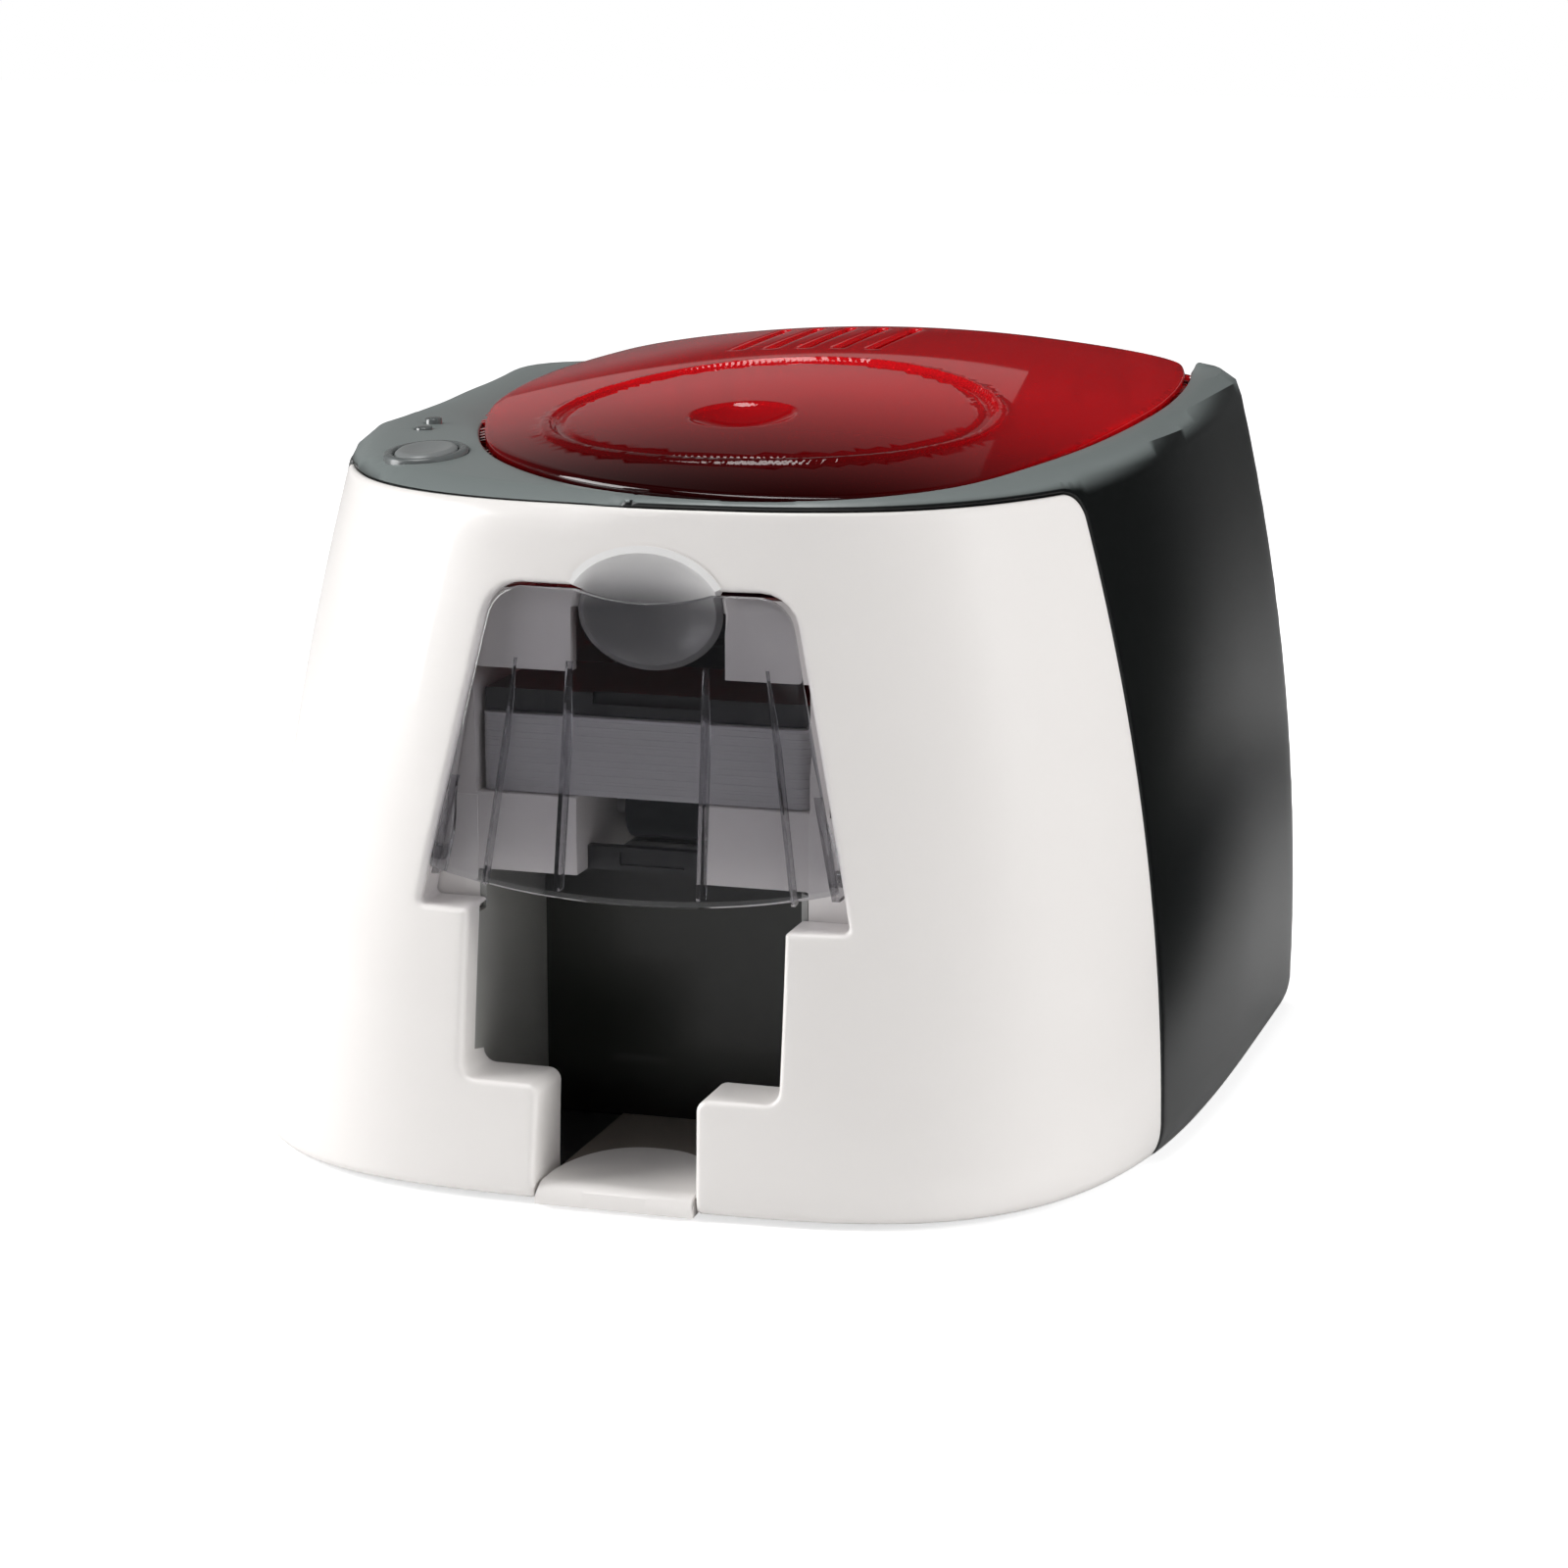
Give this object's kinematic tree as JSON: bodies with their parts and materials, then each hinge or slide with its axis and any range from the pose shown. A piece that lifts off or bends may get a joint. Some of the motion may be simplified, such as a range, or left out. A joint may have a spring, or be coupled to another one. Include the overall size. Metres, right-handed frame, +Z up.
{
  "type": "id card printer",
  "caption": "Desktop ID card printer with tinted top cover, clear feeder door over a card stack, and open output hopper.",
  "frame": {"origin": "centre of the footprint's bounding box, on the table under the rubber feet", "axes": "+Z up, -Y towards the user and the card openings, +X to the printer's right as the user sees it"},
  "size_m": [0.2578, 0.2514, 0.196],
  "materials": {
    "white_shell": "semi-gloss white moulding",
    "dark_shell": "satin anthracite moulding",
    "red_cover": "clear tinted red moulding, polished",
    "smoke_door": "clear lightly smoked moulding, polished",
    "button_plastic": "polished grey moulding",
    "bezel_plastic": "polished grey moulding",
    "lens_plastic": "translucent grey lens",
    "white_inner": "white moulding",
    "card_plastic": "blank laminated card",
    "black_plastic": "black moulding",
    "rubber": "soft rubber",
    "roller_rubber": "ground rubber sleeve",
    "steel": "zinc plated sheet and turned rod",
    "motor_steel": "drawn motor can",
    "gear_plastic": "natural acetal",
    "ceramic": "glazed ceramic heater board",
    "aluminium": "extruded, as drawn",
    "film": "coated ribbon film",
    "core_plastic": "grey moulded core",
    "pcb": "soldermask on glass laminate",
    "chip": "moulded component packages"
  },
  "bodies": {
    "casing": {"front_shell": "white_shell", "body_shell": "dark_shell", "button_bezel": "bezel_plastic", "status_lenses": "lens_plastic", "card_bay": "white_inner", "hopper_liner": "black_plastic", "card_sensor": "black_plastic", "base_pan": "black_plastic", "rubber_feet": "rubber", "rear_panel": "dark_shell", "housing_screws": "steel", "cover_hinge_pins": "steel", "side_plate_left": "steel", "side_plate_right": "steel", "cross_rods": "steel", "card_guides": "black_plastic", "idler_studs": "steel", "drive_motor": "motor_steel", "ribbon_motor": "motor_steel", "ribbon_film": "film", "head_pivot_rod": "steel", "circuit_board": "pcb", "board_chips": "chip", "usb_socket": "steel", "power_socket": "black_plastic", "card_stack": "card_plastic"},
    "cover": {"top_cover": "red_cover"},
    "door": {"feeder_door": "smoke_door"},
    "button": {"power_button": "button_plastic"},
    "weight": {"card_weight": "black_plastic"},
    "pick": {"pick_shaft": "steel", "pick_sleeve": "roller_rubber", "pick_gear": "gear_plastic"},
    "feed": {"feed_shaft": "steel", "feed_sleeve": "roller_rubber", "feed_gear": "gear_plastic"},
    "platen": {"platen_shaft": "steel", "platen_sleeve": "roller_rubber", "platen_gear": "gear_plastic"},
    "transfer": {"transfer_shaft": "steel", "transfer_sleeve": "roller_rubber", "transfer_gear": "gear_plastic"},
    "idler_a": {"idler_gear_1": "gear_plastic"},
    "idler_b": {"idler_gear_2": "gear_plastic"},
    "idler_c": {"idler_gear_3": "gear_plastic"},
    "main_pinion": {"motor_pinion": "gear_plastic"},
    "pinch": {"pinch_shaft": "steel", "pinch_sleeve": "roller_rubber"},
    "cleaning": {"cleaning_shaft": "steel", "cleaning_sleeve": "roller_rubber"},
    "takeup": {"takeup_core": "core_plastic", "takeup_film": "film", "takeup_gear": "gear_plastic"},
    "takeup_drive": {"ribbon_pinion": "gear_plastic"},
    "supply": {"supply_core": "core_plastic", "supply_film": "film"},
    "head": {"print_head": "ceramic", "head_heat_sink": "aluminium", "head_carrier": "black_plastic"}
  },
  "joints": [
    {"name": "cover_hinge", "type": "hinge", "parent": "casing", "child": "cover", "pos_m": [0.008, 0.1155, 0.1815], "axis": [-1, 0, 0], "range_deg": [0, 50]},
    {"name": "door_hinge", "type": "hinge", "parent": "casing", "child": "door", "pos_m": [0.003, -0.10766, 0.0855], "axis": [1, 0, 0], "range_deg": [0, 52]},
    {"name": "button_press", "type": "slide", "parent": "casing", "child": "button", "axis": [0, 0, -1], "range_m": [0, 0.0012], "stiffness_N_per_m": 900, "springref_m": -0.001},
    {"name": "weight_lift", "type": "slide", "parent": "casing", "child": "weight", "axis": [0, 0, 1], "range_m": [0, 0.005]},
    {"name": "feed_turn", "type": "hinge", "parent": "casing", "child": "feed", "pos_m": [0.002, -0.028, 0.0915], "axis": [1, 0, 0], "continuous": true},
    {"name": "pick_turn", "type": "hinge", "parent": "casing", "child": "pick", "pos_m": [0.002, -0.068, 0.0915], "axis": [1, 0, 0], "continuous": true},
    {"name": "platen_turn", "type": "hinge", "parent": "casing", "child": "platen", "pos_m": [0.002, 0.012, 0.0915], "axis": [1, 0, 0], "continuous": true},
    {"name": "transfer_turn", "type": "hinge", "parent": "casing", "child": "transfer", "pos_m": [0.002, 0.052, 0.0915], "axis": [1, 0, 0], "continuous": true},
    {"name": "idler_a_turn", "type": "hinge", "parent": "casing", "child": "idler_a", "pos_m": [0.002, -0.048, 0.0915], "axis": [1, 0, 0], "continuous": true},
    {"name": "idler_b_turn", "type": "hinge", "parent": "casing", "child": "idler_b", "pos_m": [0.002, -0.008, 0.0915], "axis": [1, 0, 0], "continuous": true},
    {"name": "idler_c_turn", "type": "hinge", "parent": "casing", "child": "idler_c", "pos_m": [0.002, 0.032, 0.0915], "axis": [1, 0, 0], "continuous": true},
    {"name": "motor_turn", "type": "hinge", "parent": "casing", "child": "main_pinion", "pos_m": [0.002, -0.008, 0.0723], "axis": [1, 0, 0], "continuous": true},
    {"name": "pinch_turn", "type": "hinge", "parent": "casing", "child": "pinch", "pos_m": [0.002, -0.028, 0.10706], "axis": [1, 0, 0], "continuous": true},
    {"name": "cleaning_turn", "type": "hinge", "parent": "casing", "child": "cleaning", "pos_m": [0.002, -0.013, 0.10706], "axis": [1, 0, 0], "continuous": true},
    {"name": "takeup_turn", "type": "hinge", "parent": "casing", "child": "takeup", "pos_m": [0.002, -0.02, 0.137], "axis": [1, 0, 0], "continuous": true},
    {"name": "takeup_motor_turn", "type": "hinge", "parent": "casing", "child": "takeup_drive", "pos_m": [0.002, -0.0464, 0.137], "axis": [1, 0, 0], "continuous": true},
    {"name": "supply_turn", "type": "hinge", "parent": "casing", "child": "supply", "pos_m": [0.002, 0.066, 0.137], "axis": [1, 0, 0], "continuous": true},
    {"name": "head_lift", "type": "hinge", "parent": "casing", "child": "head", "pos_m": [0.002, 0.07, 0.11], "axis": [-1, 0, 0], "range_deg": [0, 8]}
  ],
  "couplings": [
    {"joint": "pick_turn", "follows": "feed_turn", "ratio": 1},
    {"joint": "platen_turn", "follows": "feed_turn", "ratio": 1},
    {"joint": "transfer_turn", "follows": "feed_turn", "ratio": 1},
    {"joint": "idler_a_turn", "follows": "feed_turn", "ratio": -0.66667},
    {"joint": "idler_b_turn", "follows": "feed_turn", "ratio": -0.66667},
    {"joint": "idler_c_turn", "follows": "feed_turn", "ratio": -0.66667},
    {"joint": "motor_turn", "follows": "feed_turn", "ratio": 1.1111},
    {"joint": "takeup_motor_turn", "follows": "takeup_turn", "ratio": -2.6667},
    {"joint": "supply_turn", "follows": "takeup_turn", "ratio": 0.72222}
  ]
}
